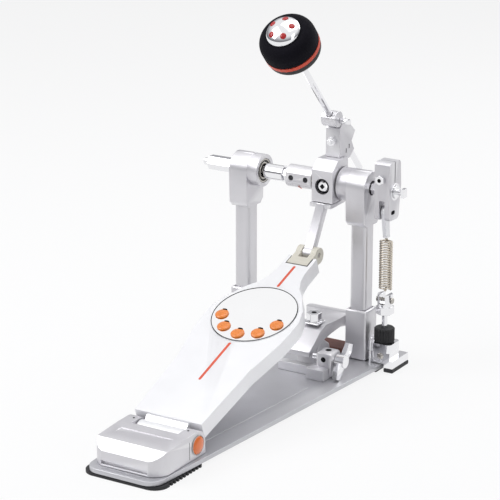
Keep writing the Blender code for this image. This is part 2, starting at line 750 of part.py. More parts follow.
def make_housing(side, x, inward):
    """A post's head: a rounded block with a bearing boss towards the middle."""
    half = POST_SIDE / 2
    wide = HOUSING_RADIUS
    points = arc((0, AXLE_HEIGHT), wide, 0, 180, 14)
    points += [(-wide + 0.001, HOUSING_BOTTOM + 0.005), (-wide + 0.006, HOUSING_BOTTOM)]
    points += [(wide - 0.006, HOUSING_BOTTOM), (wide - 0.001, HOUSING_BOTTOM + 0.005)]
    body = outline(f"housing_{side}", points, HOUSING_WIDTH, side_frame(x))
    inner_face = x + inward * HOUSING_WIDTH / 2
    boss_face = inner_face + inward * BOSS_LENGTH
    boss_place = AXLE + Vector((inner_face + inward * (BOSS_LENGTH / 2 - 0.002), 0, 0))
    boss = rod(f"boss_{side}", wide - 0.0002, BOSS_LENGTH + 0.004, boss_place, sides=28)
    join(bevel(body, 0.0015, 1), boss)
    pocket_place = AXLE + Vector((boss_face, 0, 0))
    hole_low = (x - half - GAP, -half - GAP, HOUSING_BOTTOM - 0.01)
    hole_high = (x + half + GAP, half + GAP, HOUSING_BOTTOM + POST_DEPTH + GAP)
    cut(
        body,
        rod(f"axle_hole_{side}", HOUSING_BORE, 0.06, AXLE + Vector((x, 0, 0)), sides=20),
        rod(f"pocket_{side}", BEARING_RADIUS + GAP, 2 * BEARING_DEPTH, pocket_place, sides=24),
        box(f"post_cutter_{side}", hole_low, hole_high),
    )
    finish(body, SATIN)
    low, high = -BEARING_DEPTH / 2 + 2 * GAP, BEARING_DEPTH / 2 - GAP
    ring = [(BEARING_RADIUS, high), (BEARING_RADIUS, low), (BEARING_BORE, low), (BEARING_BORE, high)]
    place = AXLE + Vector((boss_face - inward * BEARING_DEPTH / 2, 0, 0))
    turn = ACROSS_X if inward > 0 else Euler((0, -pi / 2, 0))
    finish(turned(f"bearing_{side}", ring, place, turn, 24, ring=True), DARK)


def make_cam():
    """The spring cam outside the right housing, with its bolts and strap pin."""
    z = AXLE_HEIGHT
    points = rounded(
        [
            (0.0005 - CAM_FRONT, z - 0.029),
            (0.009, z - 0.029),
            (0.0135, z + 0.006),
            (CAM_FRONT, z + 0.031),
            (-CAM_FRONT, z + 0.031),
        ],
        0.004,
        3,
    )
    cam = outline("spring_cam", points, 2 * CAM_HALF, side_frame(CAM_X))
    slot_half = STRAP_HALF + 0.0008
    inner = CAM_X - slot_half
    outer = CAM_X + slot_half
    slot = box("strap_slot", (inner, -0.03, z - 0.04), (outer, 0.03, z - 0.0085))
    split_x = CAM_X + CAM_HALF
    split = box("cam_split", (CAM_X - 0.02, -0.0008, z + 0.005), (split_x + 0.01, 0.0008, z + 0.05))
    cut(
        cam,
        hex_bar("cam_bore", AXLE_FLATS + 2 * GAP, 0.04, AXLE + Vector((CAM_X, 0, 0))),
        slot,
        split,
        rod("strap_pin_cutter", STRAP_PIN_RADIUS + GAP, 0.04, STRAP_PIVOT, sides=12),
    )
    finish(pivot_on(cam, AXLE), SATIN)

    facing = Euler((pi / 2, 0, 0))
    bolt_place = Vector((CAM_X - 0.001, -CAM_FRONT - GAP - 0.002, z + 0.0135))
    bolt = hex_bar("cam_bolt", 0.009, 0.004, bolt_place, facing)
    finish(pivot_on(bolt, AXLE), CHROME)
    end_place = AXLE + Vector((CAM_X + CAM_HALF + GAP, 0, 0))
    flange = rod("cam_end_bolt", 0.0065, 0.0024, end_place + Vector((0.0012, 0, 0)), sides=20)
    stem = rod("end_stem", 0.003, 0.008, end_place + Vector((0.005, 0, 0)), sides=12)
    head = box("end_head", (-0.0018, -0.0035, -0.0045), (0.0018, 0.0035, 0.0045))
    head.location = end_place + Vector((0.0100, 0, 0))
    finish(pivot_on(join(flange, stem, head), AXLE), CHROME)
    pin = rod("strap_pin", STRAP_PIN_RADIUS, 2 * CAM_HALF - 0.001, STRAP_PIVOT, sides=12)
    finish(pivot_on(pin, AXLE), STEEL)


def make_strap():
    """The flat strap that hangs from the cam and holds the spring's top hook."""
    low = SPRING_TOP + 0.0035
    eye = (STRAP_PIVOT.y, STRAP_PIVOT.z)
    points = [
        (-0.0032, low),
        (0.0042, low),
        *arc(eye, 0.0056, -30, 210, 10),
    ]
    strap = outline("spring_strap", points, 2 * STRAP_HALF, side_frame(CAM_X))
    cut(strap, rod("strap_bore", STRAP_BORE, 0.02, STRAP_PIVOT, sides=16))
    finish(pivot_on(strap, (CAM_X, 0, CLEVIS_Z)), BRIGHT)


def make_spring():
    """The return spring: a coil with a straight lead at each end."""
    steps = 10
    count = SPRING_TURNS * steps
    turn_radius = SPRING_RADIUS - SPRING_WIRE
    points = [Vector((CAM_X, 0, SPRING_BOTTOM - 0.005))]
    for i in range(count + 1):
        angle = 2 * pi * i / steps
        rise = (SPRING_TOP - SPRING_BOTTOM) * i / count
        grow = min(1, i / steps, (count - i) / steps)
        radius = turn_radius * max(grow, 0.15)
        points.append(Vector((CAM_X + radius * cos(angle), radius * sin(angle), SPRING_BOTTOM + rise)))
    points.append(Vector((CAM_X, 0, SPRING_TOP + 0.0025)))
    curve = bpy.data.curves.new("return_spring", "CURVE")
    curve.dimensions = "3D"
    curve.bevel_depth = SPRING_WIRE
    curve.bevel_resolution = 1
    curve.use_fill_caps = True
    spline = curve.splines.new("POLY")
    spline.points.add(len(points) - 1)
    for point, place in zip(spline.points, points):
        point.co = (*place, 1)
    spring = bpy.data.objects.new("return_spring", curve)
    PARTS.objects.link(spring)
    curve.materials.append(STEEL)


def make_tensioner():
    """The clevis, rod, knob and foot under the spring."""
    flat_turn = Euler((0, 0, 0))
    place = Vector((CAM_X, 0, CLEVIS_Z))
    clevis = rod("clevis", 0.0078, 0.013, place, flat_turn, 20)
    flange = hex_bar("flange_shape", 0.0165, 0.008, place - Vector((0, 0, 0.0105)), flat_turn)
    join(clevis, flange)
    cheek = 0.0032
    mouth_low = place + Vector((-cheek, -0.01, -0.0035))
    cut(
        clevis,
        box("clevis_mouth", mouth_low, place + Vector((cheek, 0.01, 0.02))),
        rod("clevis_bore", 0.0022, 0.03, place, sides=12),
        rod("clevis_thread", TENSION_ROD_RADIUS + GAP, 0.03, place - Vector((0, 0, 0.0235)), flat_turn, 16),
    )
    finish(clevis, CHROME)

    rod_low, rod_high = 0.0285, CLEVIS_Z - 0.0095
    bracket_top = KNOB_Z - GAP
    stem = rod(
        "tension_rod",
        TENSION_ROD_RADIUS,
        rod_high - rod_low,
        Vector((CAM_X, 0, (rod_low + rod_high) / 2)),
        flat_turn,
        16,
    )
    finish(stem, CHROME)
    bore = TENSION_ROD_RADIUS + GAP
    profile = [
        (KNOB_RADIUS - 0.001, KNOB_HEIGHT),
        (KNOB_RADIUS, KNOB_HEIGHT - 0.001),
        (KNOB_RADIUS, 0.001),
        (KNOB_RADIUS - 0.001, 0),
        (bore, 0),
        (bore, KNOB_HEIGHT),
    ]
    knob = turned("tension_knob", profile, Vector((CAM_X, 0, KNOB_Z)), steps=24, ring=True)
    finish(knob, RUBBER)

    wall = RIGHT_POST_X + SOCKET_SIDE / 2 + GAP
    plate_points = rounded(
        [(wall, -0.0115), (CAM_X + 0.0125, -0.0115), (CAM_X + 0.0125, 0.0115), (wall, 0.0115)], 0.004, 3
    )
    plate_height = 0.009
    bracket = outline(
        "spring_bracket", plate_points, plate_height, plan_frame(bracket_top - plate_height / 2)
    )
    foot_left = BASE_TOE_HALF + 0.0010
    leg = box(
        "leg_shape",
        (CAM_X - 0.012, -0.010, BASE_TOP + 0.0012),
        (CAM_X + 0.0115, 0.010, bracket_top - plate_height + 0.001),
    )
    toe = box("toe_shape", (foot_left, -0.010, 0.0045), (CAM_X + 0.0150, 0.0245, 0.0125))
    join(bracket, leg, toe)
    cut(bracket, rod("rod_seat", bore, 0.004, Vector((CAM_X, 0, bracket_top)), flat_turn, 16))
    finish(bracket, CHROME)
    pad = box("bracket_foot", (foot_left, -0.0105, 0), (CAM_X + 0.0155, 0.025, 0.0042))
    finish(pad, RUBBER)


def make_hoop_clamp():
    pad = box("hoop_pad", (LIP_LEFT + 0.004, -0.003, SEAT), (0.019, 0.021, 0.0125))
    finish(bevel(pad, 0.0008, 1), BROWN)
    pedestal_points = [
        (-0.0515, SEAT),
        (-0.046, 0.0240),
        (JAW_Y - 0.001, JAW_Z - 0.0004),
        (JAW_Y + 0.001, JAW_Z - 0.0002),
        (-0.022, 0.0240),
        (-0.018, SEAT),
    ]
    pedestal = outline("clamp_pedestal", pedestal_points, 0.022, side_frame(0))
    finish(pedestal, SATIN)

    points = [
        (-0.068, 0.0235),
        (-0.068, 0.0285),
        (-0.058, 0.0350),
        (-0.046, 0.0440),
        (-0.034, 0.0480),
        (-0.012, 0.0465),
        (0.012, 0.0465),
        (0.0205, 0.0445),
        (0.0215, 0.0345),
        (0.012, 0.0335),
        (-0.004, 0.0370),
        (-0.024, 0.0355),
        (-0.044, 0.0320),
        (-0.058, 0.0250),
    ]
    jaw = outline("clamp_jaw", points, 2 * JAW_HALF, side_frame(0))
    lip_right, lip_front, lip_back = 0.0220, 0.0105, 0.0215
    lip_corners = [
        (LIP_LEFT, lip_front),
        (lip_right, lip_front),
        (lip_right, lip_back),
        (LIP_LEFT, lip_back),
    ]
    lip_points = rounded(lip_corners, 0.004, 3)
    lip = outline("lip_shape", lip_points, 0.0120, plan_frame(0.0402))
    join(jaw, lip)
    right_socket = RIGHT_POST_X - SOCKET_SIDE / 2 - 2 * GAP
    clear = box("socket_clearance", (right_socket, -0.02, 0.02), (0.05, SOCKET_SIDE / 2 + GAP, 0.06))
    cut(jaw, clear)
    finish(pivot_on(bevel(jaw, 0.0012, 1), JAW_PIVOT), SATIN)

    flat_turn = Euler((0, 0, 0))
    washer = box("jaw_bolt", (-0.009, -0.043, 0.0485), (0.009, -0.026, 0.0500))
    head_place = Vector((0, -0.0345, 0.0500 + 0.0045))
    head = hex_bar("bolt_head", 0.0135, 0.0092, head_place, flat_turn)
    finish(pivot_on(join(washer, head), JAW_PIVOT), CHROME)

    screw = Vector((0, SCREW_Y, SCREW_Z))
    bracket = box("wing_bracket", (0.024, SCREW_Y - 0.0105, SEAT), (0.043, SCREW_Y + 0.0105, 0.0335))
    bevel(bracket, 0.004)
    bar_low = (-0.018, SCREW_Y - 0.0125, SEAT)
    bar = box("bar_shape", bar_low, (0.030, SCREW_Y - 0.0035, SEAT + 0.009))
    foot = box("foot_shape", (0.020, SCREW_Y - 0.022, SEAT), (0.040, SCREW_Y - 0.002, SEAT + 0.011))
    join(bracket, bar, foot)
    cut(bracket, rod("screw_bore", WING_STEM_RADIUS + GAP, 0.06, screw + Vector((0.03, 0, 0)), sides=16))
    finish(bracket, SATIN)

    make_wing(screw)


def make_wing(screw):
    wing = rod("wing_screw", 0.0065, 0.010, screw + Vector((WING_X, 0, 0)), sides=20)
    stem = rod("wing_stem", WING_STEM_RADIUS, 0.032, screw + Vector((WING_X - 0.016, 0, 0)), sides=16)
    reach = WING_REACH
    points = []
    for side in (1, -1):
        points += [
            (side * 0.004, -side * 0.0045),
            (side * (reach - 0.007), -side * 0.0055),
            (side * reach, -side * 0.001),
            (side * (reach - 0.003), side * 0.0055),
            (side * 0.010, side * 0.0045),
        ]
    tilt = Matrix.Rotation(radians(43), 4, "X")
    place = Matrix.Translation(screw + Vector((WING_X + 0.0012, 0, 0)))
    blades = outline("wing_blades", points, 0.0050, place @ tilt @ side_frame(0))
    join(wing, stem, blades)
    finish(pivot_on(wing, screw), CHROME)


make_base()
make_heel_block()
make_footboard()
make_toe_insert()
make_link()
make_axle()
make_hub()
make_collar()
make_holder()
make_beater()
make_post("left", LEFT_POST_X)
make_post("right", RIGHT_POST_X)
make_housing("left", LEFT_POST_X, 1)
make_housing("right", RIGHT_POST_X, -1)
make_cam()
make_strap()
make_spring()
make_tensioner()
make_hoop_clamp()
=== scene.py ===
# %% [markdown]
# # A bass drum pedal in satin aluminium
# The pedal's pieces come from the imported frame, in metres, with +Z up, +Y towards
# the drum and the axle along X. This lesson gives each piece its finish and adds
# the small shapes that make it look made rather than drawn. We keep the frame's
# box first, so that at the end we can see how far the finished model reaches past it.

# %% Load the frame
import json
from math import cos, degrees, pi, radians, sin

import bmesh
import bpy
from mathutils import Matrix, Vector

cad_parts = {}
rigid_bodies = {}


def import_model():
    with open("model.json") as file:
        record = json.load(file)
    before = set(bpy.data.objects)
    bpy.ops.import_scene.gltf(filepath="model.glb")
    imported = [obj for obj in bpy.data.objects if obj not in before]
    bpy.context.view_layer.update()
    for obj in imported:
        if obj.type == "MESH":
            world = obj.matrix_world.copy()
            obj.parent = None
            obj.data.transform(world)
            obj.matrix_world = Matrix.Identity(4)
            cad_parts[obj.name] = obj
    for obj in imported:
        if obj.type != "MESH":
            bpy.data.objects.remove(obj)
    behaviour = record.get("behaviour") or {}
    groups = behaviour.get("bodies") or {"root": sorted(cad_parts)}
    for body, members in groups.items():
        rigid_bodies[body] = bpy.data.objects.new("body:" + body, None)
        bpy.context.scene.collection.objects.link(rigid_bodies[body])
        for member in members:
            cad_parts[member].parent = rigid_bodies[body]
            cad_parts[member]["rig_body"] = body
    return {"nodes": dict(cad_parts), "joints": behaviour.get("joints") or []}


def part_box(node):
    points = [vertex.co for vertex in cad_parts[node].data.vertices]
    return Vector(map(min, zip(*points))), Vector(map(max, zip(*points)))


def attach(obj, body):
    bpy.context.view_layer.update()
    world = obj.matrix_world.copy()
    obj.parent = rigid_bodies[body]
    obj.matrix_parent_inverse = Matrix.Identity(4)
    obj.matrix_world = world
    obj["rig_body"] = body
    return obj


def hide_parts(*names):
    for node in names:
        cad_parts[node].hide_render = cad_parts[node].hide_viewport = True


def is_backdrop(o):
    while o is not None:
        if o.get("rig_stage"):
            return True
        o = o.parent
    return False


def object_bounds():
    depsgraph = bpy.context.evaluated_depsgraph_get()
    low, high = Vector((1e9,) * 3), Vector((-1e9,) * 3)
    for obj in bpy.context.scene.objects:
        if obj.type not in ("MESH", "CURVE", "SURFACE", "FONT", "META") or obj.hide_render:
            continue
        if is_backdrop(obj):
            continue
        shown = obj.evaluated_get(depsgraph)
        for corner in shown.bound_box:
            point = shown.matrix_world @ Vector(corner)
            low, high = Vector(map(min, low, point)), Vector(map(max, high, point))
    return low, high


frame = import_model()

cad_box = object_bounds()
nodes = frame["nodes"]
joints = {joint["name"]: joint for joint in frame["joints"]}
print("pieces in the frame:", len(nodes))

# %% [markdown]
# ## Where things are
# Places are read from the frame: joint points from the record, and the rest from
# the nodes' own points. The footboard's slope is the slope of the mirror plate's
# largest face, and a tilted piece is measured along its own axis, because a box
# along X, Y and Z says little about it.

# %% Places and directions
X, Y, Z = Vector((1, 0, 0)), Vector((0, 1, 0)), Vector((0, 0, 1))
AXLE = Vector(joints["rocker_swing"]["pos_m"])
HINGE = Vector(joints["board_hinge"]["pos_m"])
WING = Vector(joints["wing_turn"]["pos_m"])
BEATER_UP = Vector(joints["beater_height"]["axis"]).normalized()


def middle(node):
    low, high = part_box(node)
    return (low + high) / 2


def span(node, direction, start):
    """How far a node reaches along a direction from a start point."""
    reaches = [(v.co - start).dot(direction) for v in nodes[node].data.vertices]
    return min(reaches), max(reaches)


def girth(node, direction, start):
    """A turned node's largest radius about a line."""
    spokes = [v.co - start - direction * (v.co - start).dot(direction) for v in nodes[node].data.vertices]
    return max(spoke.length for spoke in spokes)


def facing(node):
    """The upward direction of a node's largest face."""
    widest = max(nodes[node].data.polygons, key=lambda face: face.area)
    return widest.normal * (1 if widest.normal.z > 0 else -1)


BOARD_UP = facing("traction_plate").normalized()
BOARD_ALONG = BOARD_UP.cross(X)
BOARD_START = HINGE + BOARD_UP * span("footboard", BOARD_UP, HINGE)[1]
print("board slope in degrees:", round(degrees(BOARD_ALONG.angle(Y)), 2))

# %% [markdown]
# ## Finishes
# A cast surface is never one flat colour. Each finish here is a Principled shader
# whose colour, roughness and height are stirred by noise in object space, so the
# grain keeps its real size and no UV map is needed. On the metals, Pointiness
# picks out the edges, where handling wears them brighter.

# %% Helpers that wire a procedural finish
def new_finish(name, color, roughness, metallic, **sockets):
    made = bpy.data.materials.new(name)
    made.use_nodes = True
    shader = made.node_tree.nodes["Principled BSDF"]
    shader.inputs["Base Color"].default_value = (*color, 1)
    shader.inputs["Roughness"].default_value = roughness
    shader.inputs["Metallic"].default_value = metallic
    for socket, value in sockets.items():
        shader.inputs[socket.replace("_", " ")].default_value = value
    return made, made.node_tree, shader


def noise(tree, scale, detail=3.0, stretch=(1, 1, 1)):
    place = tree.nodes.new("ShaderNodeTexCoord")
    stretched = tree.nodes.new("ShaderNodeMapping")
    stretched.inputs["Scale"].default_value = stretch
    grain = tree.nodes.new("ShaderNodeTexNoise")
    grain.inputs["Scale"].default_value = scale
    grain.inputs["Detail"].default_value = detail
    tree.links.new(place.outputs["Object"], stretched.inputs["Vector"])
    tree.links.new(stretched.outputs["Vector"], grain.inputs["Vector"])
    return grain.outputs["Fac"]


def spread(tree, value, low, high, start=0.3, end=0.7):
    """Maps the stretch of a value between start and end onto low to high."""
    step = tree.nodes.new("ShaderNodeMapRange")
    step.inputs["From Min"].default_value = start
    step.inputs["From Max"].default_value = end
    step.inputs["To Min"].default_value = low
    step.inputs["To Max"].default_value = high
    tree.links.new(value, step.inputs["Value"])
    return step.outputs["Result"]


def blended(tree, share, first, second):
    """Two colours mixed by a 0 to 1 value; the first may be another node's output."""
    mix = tree.nodes.new("ShaderNodeMix")
    mix.data_type = "RGBA"
    tree.links.new(share, mix.inputs["Factor"])
    if isinstance(first, bpy.types.NodeSocket):
        tree.links.new(first, mix.inputs["A"])
    else:
        mix.inputs["A"].default_value = (*first, 1)
    mix.inputs["B"].default_value = (*second, 1)
    return mix.outputs["Result"]


def stirred(name, color, roughness, metallic, grain, change=0.06, rough_change=0.06,
            strength=0.15, depth=0.0001, stretch=(1, 1, 1), wear=0.0, **sockets):
    """A finish whose colour, roughness and height vary, with worn edges where asked."""
    made, tree, shader = new_finish(name, color, roughness, metallic, **sockets)
    cloud = spread(tree, noise(tree, 22, 2.0), 0, 1)
    fine = noise(tree, grain, 4.0, stretch)
    dark = [c * (1 - change) for c in color]
    light = [min(1, c * (1 + change)) for c in color]
    shade = blended(tree, cloud, dark, light)
    if wear:
        edges = tree.nodes.new("ShaderNodeNewGeometry").outputs["Pointiness"]
        worn = spread(tree, edges, 0, wear, 0.51, 0.58)
        shade = blended(tree, worn, shade, (0.93, 0.93, 0.94))
    tree.links.new(shade, shader.inputs["Base Color"])
    rough = spread(tree, fine, roughness - rough_change, roughness + rough_change)
    tree.links.new(rough, shader.inputs["Roughness"])
    height = tree.nodes.new("ShaderNodeBump")
    height.inputs["Strength"].default_value = strength
    height.inputs["Distance"].default_value = depth
    tree.links.new(fine, height.inputs["Height"])
    tree.links.new(height.outputs["Normal"], shader.inputs["Normal"])
    return made


# %% [markdown]
# ## The metals
# The castings are bead-blasted, so they spread their reflections widely. The
# posts are drawn bar, with a fine grain along their length, which comes from the
# same noise stretched tall. Chrome is nearly a mirror: it looks like chrome only
# because the studio gives it light and dark to reflect.

# %% Metals
CASTING = stirred("satin_casting", (0.61, 0.60, 0.63), 0.40, 0.82, 900, strength=0.14, wear=0.5)
BRUSHED = stirred(
    "brushed_post", (0.56, 0.55, 0.58), 0.36, 0.85, 700, strength=0.16, stretch=(1, 1, 0.04), wear=0.4
)
BASE = stirred("base_casting", (0.50, 0.50, 0.53), 0.44, 0.8, 900, strength=0.14, wear=0.4)
BOARD = stirred("bright_board", (0.84, 0.84, 0.86), 0.36, 0.45, 800, change=0.03, strength=0.07, wear=0.3)
CHROME = stirred("chrome", (0.82, 0.82, 0.84), 0.10, 1.0, 60, 0.02, 0.025, 0.02)
STEEL = stirred("steel", (0.47, 0.45, 0.42), 0.28, 1.0, 400, strength=0.08)
SPRING = stirred("spring_nickel", (0.55, 0.50, 0.43), 0.25, 1.0, 300, strength=0.06)
DARK = stirred("dark_steel", (0.035, 0.035, 0.04), 0.36, 0.7, 500, 0.2)
MIRROR = stirred("mirror", (0.93, 0.93, 0.94), 0.04, 1.0, 40, 0.01, 0.015, 0.01)

# %% [markdown]
# ## Rubber, felt and plastic
# Felt is fibres: a fine, strong bump and a breath of sheen. Rubber is matt with a
# slight mould grain. The orange plastic is glossy, so it gets a coat, set
# straight on its socket.

# %% Soft and moulded finishes
RUBBER = stirred("black_rubber", (0.012, 0.012, 0.014), 0.60, 0.0, 900, 0.2, strength=0.3)
BROWN = stirred("brown_rubber", (0.13, 0.045, 0.035), 0.6, 0.0, 900, 0.15, strength=0.3)
FELT = stirred(
    "black_felt", (0.0035, 0.003, 0.006), 0.92, 0.0, 1500, 0.3, strength=0.7, depth=0.0003,
    Sheen_Weight=0.02, Sheen_Roughness=0.5, Specular_IOR_Level=0.15,
)
ORANGE = stirred("orange", (0.80, 0.16, 0.012), 0.20, 0.0, 300, 0.05, strength=0.03, Coat_Weight=0.6)
DOT = stirred("dot_orange", (0.86, 0.24, 0.025), 0.28, 0.0, 500, 0.08, strength=0.10, Coat_Weight=0.3)
RED = stirred("red_ring", (0.62, 0.055, 0.018), 0.34, 0.0, 500, 0.05, strength=0.08)
INLAY = stirred("red_inlay", (0.42, 0.010, 0.012), 0.25, 0.0, 500, 0.08, strength=0.05)
CREAM = stirred("cream_nylon", (0.70, 0.67, 0.58), 0.42, 0.0, 600, 0.03, strength=0.08)
STRIPE = stirred("stripe_paint", (0.74, 0.10, 0.045), 0.36, 0.0, 500, 0.03, strength=0.04)
# Painted shade: this near-black matt finish is laid on thin sheets that stand for the shade in holes, slots,
# seams and gaps.
SHADOW = stirred("painted_shade", (0.008, 0.008, 0.010), 0.7, 0.0, 500, 0.1, Specular_IOR_Level=0.1)

# %% [markdown]
# ## Which piece has which finish
# One table says it all. A node that isn't in it stops the script here with a
# KeyError, so no piece can slip through without a finish.

# %% Give each node its finish
FINISHES = {
    CASTING: "heel_block housing_left housing_right post_socket_left post_socket_right "
    "clamp_pedestal wing_bracket link collar hub beater_holder clamp_cylinder spring_cam clamp_jaw",
    BRUSHED: "post_left post_right",
    BASE: "base_plate",
    BOARD: "footboard spring_strap",
    CHROME: "spring_bracket tension_rod clevis axle axle_sleeve hub_bolt holder_screw clamp_bolt "
    "cam_bolt cam_end_bolt beater_shaft beater_cap wing_screw jaw_bolt",
    STEEL: "hinge_rod link_pin hub_pin strap_pin",
    SPRING: "return_spring",
    DARK: "bearing_left bearing_right collar_screw_1 collar_screw_2",
    RUBBER: "heel_mat toe_mat bracket_foot tension_knob beater_base",
    BROWN: "hoop_pad",
    FELT: "beater_felt",
    ORANGE: "hinge_cap",
    DOT: "traction_dot_1 traction_dot_2 traction_dot_3 traction_dot_4 traction_dot_5",
    RED: "beater_ring",
    CREAM: "toe_insert",
    MIRROR: "traction_plate",
}
finish_of = {node: shade for shade, names in FINISHES.items() for node in names.split()}
for name, node in nodes.items():
    node.data.materials.clear()
    node.data.materials.append(finish_of[name])
    node.data.shade_smooth()
    node.data.set_sharp_from_angle(angle=radians(32))
print("nodes with a finish:", len(finish_of))

# %% [markdown]
# ## Putting a new mesh on a body
# Every new piece needs the same four things: an object, a finish, smooth faces
# with sharp edges where they turn hard, and a body to ride on. One helper does
# them all.

# %% Add a piece, and a place to put it
def add(name, mesh, shade, body, smooth=35):
    piece = bpy.data.objects.new(name, mesh)
    bpy.context.scene.collection.objects.link(piece)
    mesh.materials.append(shade)
    mesh.shade_smooth()
    mesh.set_sharp_from_angle(angle=radians(smooth))
    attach(piece, body)
    return piece


def axes(centre, up, across=X):
    """A place at centre whose Z is up and whose X lies nearest to across."""
    up = up.normalized()
    if abs(up.dot(across)) > 0.95:
        across = Y
    side = (across - up * across.dot(up)).normalized()
    turn = Matrix((side, up.cross(side), up)).transposed().to_4x4()
    return Matrix.Translation(centre) @ turn


def mesh_from(made, name, place):
    """A mesh from a bmesh, welded, facing outwards and moved to its place."""
    bmesh.ops.remove_doubles(made, verts=made.verts, dist=1e-6)
    bmesh.ops.recalc_face_normals(made, faces=made.faces)
    made.transform(place)
    mesh = bpy.data.meshes.new(name)
    made.to_mesh(mesh)
    made.free()
    return mesh


# %% [markdown]
# ## Rounding what is cast
# A casting has no knife edges. The solids do, so each cast or forged piece is
# copied, its flat faces are merged back together, and a Bevel rounds what is
# left. The copy stands for the node, which stays as it is underneath.

# %% Round the castings
def soften(node, width, segments=3, angle=30):
    made = bmesh.new()
    made.from_mesh(nodes[node].data)
    bmesh.ops.remove_doubles(made, verts=made.verts, dist=1e-6)
    bmesh.ops.dissolve_limit(made, angle_limit=radians(1.5), verts=made.verts, edges=made.edges)
    mesh = mesh_from(made, f"{node}_rounded", Matrix.Identity(4))
    body = nodes[node]["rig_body"]
    piece = add(f"{node}_rounded", mesh, finish_of[node], body)
    edge = piece.modifiers.new("rounded edges", "BEVEL")
    edge.width = width
    edge.segments = segments
    edge.limit_method = "ANGLE"
    edge.angle_limit = radians(angle)
    edge.harden_normals = True
    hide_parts(node)
    return piece


ROUNDING = {
    0.0020: "heel_block post_socket_left post_socket_right",
    0.0012: "base_plate clamp_jaw wing_bracket wing_screw hub housing_left housing_right",
    0.0008: "footboard beater_holder spring_cam clamp_pedestal hoop_pad bracket_foot",
    0.0005: "collar link toe_insert jaw_bolt clevis spring_bracket cam_bolt cam_end_bolt clamp_cylinder",
    0.0003: "holder_screw clamp_bolt axle axle_sleeve spring_strap",
}
for width, names in ROUNDING.items():
    for node in names.split():
        soften(node, width)
print("rounded pieces:", sum(len(names.split()) for names in ROUNDING.values()))

# %% [markdown]
# ## Turned and flat shapes
# Nearly all the rest is either turned about an axis or cut from a flat outline.
# Both are built point by point with bmesh, because each then comes out closed and
# at the right size with no modifier left to apply.

# %% Turn a profile, or raise an outline
def turned(profile, place, steps=48):
    """A shape turned about Z from (radius, height) points; a point on the axis makes a cap."""
    made = bmesh.new()
    rings = []
    for radius, height in profile:
        if radius < 1e-6:
            rings.append([made.verts.new((0, 0, height))])
            continue
        turns = [2 * pi * i / steps for i in range(steps)]
        rings.append([made.verts.new((radius * cos(t), radius * sin(t), height)) for t in turns])
    for lower, upper in zip(rings, rings[1:]):
        for i in range(steps):
            j = (i + 1) % steps
            first, second = lower[i % len(lower)], lower[j % len(lower)]
            third, fourth = upper[j % len(upper)], upper[i % len(upper)]
            made.faces.new(dict.fromkeys((first, second, third, fourth)))
    return mesh_from(made, "turned", place)


def slab(points, depth, place, edge=0.0002):
    """A flat outline raised by depth, with a fine rounded top edge."""
    made = bmesh.new()
    face = made.faces.new([made.verts.new((x, y, 0)) for x, y in points])
    raised = bmesh.ops.extrude_face_region(made, geom=[face], use_keep_orig=True)
    lifted = [v for v in raised["geom"] if isinstance(v, bmesh.types.BMVert)]
    bmesh.ops.translate(made, verts=lifted, vec=(0, 0, depth))
    bmesh.ops.recalc_face_normals(made, faces=made.faces)
    top = [e for e in made.edges if all(v.co.z > depth / 2 for v in e.verts)]
    bmesh.ops.bevel(made, geom=top, offset=edge, segments=2, affect="EDGES")
    return mesh_from(made, "slab", place)


def ring(inner, outer, height, place, steps=72):
    """A flat ring, closed on all sides."""
    chamfer = min(height, outer - inner) * 0.2
    profile = [(inner, 0), (outer, 0), (outer, height - chamfer), (outer - chamfer, height)]
    return turned(profile + [(inner, height), (inner, 0)], place, steps)


def oval(width, height, count=32):
    turns = [2 * pi * i / count for i in range(count)]
    return [(width * cos(t), height * sin(t)) for t in turns]


def pill(half_length, half_width, count=10):
    """A long outline with round ends, along its Y."""
    straight = half_length - half_width
    turns = [pi * i / count for i in range(count + 1)]
    top = [(half_width * cos(t), straight + half_width * sin(t)) for t in turns]
    return top + [(-x, -y) for x, y in top]


# %% [markdown]
# ## The beater's head
# The felt is pressed, so its shoulder is full and round. A turned profile with an
# elliptical shoulder gives that, where the solid has a plain chamfer. The rubber
# under the ring curves in to the shaft.

# %% Felt and rubber
shaft_points = [v.co for v in nodes["beater_shaft"].data.vertices]
SHAFT = sum(shaft_points, Vector()) / len(shaft_points)
head = axes(SHAFT, BEATER_UP)
felt_low, felt_top = span("beater_felt", BEATER_UP, SHAFT)
base_low, base_top = span("beater_base", BEATER_UP, SHAFT)
HEAD_RADIUS = girth("beater_felt", BEATER_UP, SHAFT)
BORE = girth("beater_shaft", BEATER_UP, SHAFT) + 0.0003
SHOULDER_IN, SHOULDER_DOWN = 0.0095, 0.0125


def quarter(count=12):
    """Angles from the side of an arc to its top."""
    return [pi / 2 * i / count for i in range(count + 1)]


profile = [(BORE, felt_low), (HEAD_RADIUS - 0.0007, felt_low), (HEAD_RADIUS, felt_low + 0.0009)]
for turn in quarter():
    out = HEAD_RADIUS - SHOULDER_IN * (1 - cos(turn))
    profile.append((out, felt_top - SHOULDER_DOWN * (1 - sin(turn))))
profile += [(BORE, felt_top), (BORE, felt_low)]
felt = add("pressed_felt", turned(profile, head, 72), FELT, "beater")
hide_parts("beater_felt")

profile = [(BORE, base_top), (BORE, base_low)]
for turn in quarter():
    out = HEAD_RADIUS - 0.0008 - 0.0115 * (1 - sin(turn))
    profile.append((out, base_top - 0.003 - (base_top - base_low - 0.003) * cos(turn)))
profile += [(HEAD_RADIUS - 0.0006, base_top - 0.0003), (HEAD_RADIUS - 0.0009, base_top), (BORE, base_top)]
base = add("rubber_base", turned(profile, head, 72), RUBBER, "beater")
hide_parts("beater_base")
print("head length in mm:", round(1000 * (felt_top - base_low), 1))

# %% [markdown]
# ## The chrome cap
# A shallow dome with five red inlays set in a ring.
# Each inlay stands square to the dome, so its place takes the dome's own slope.

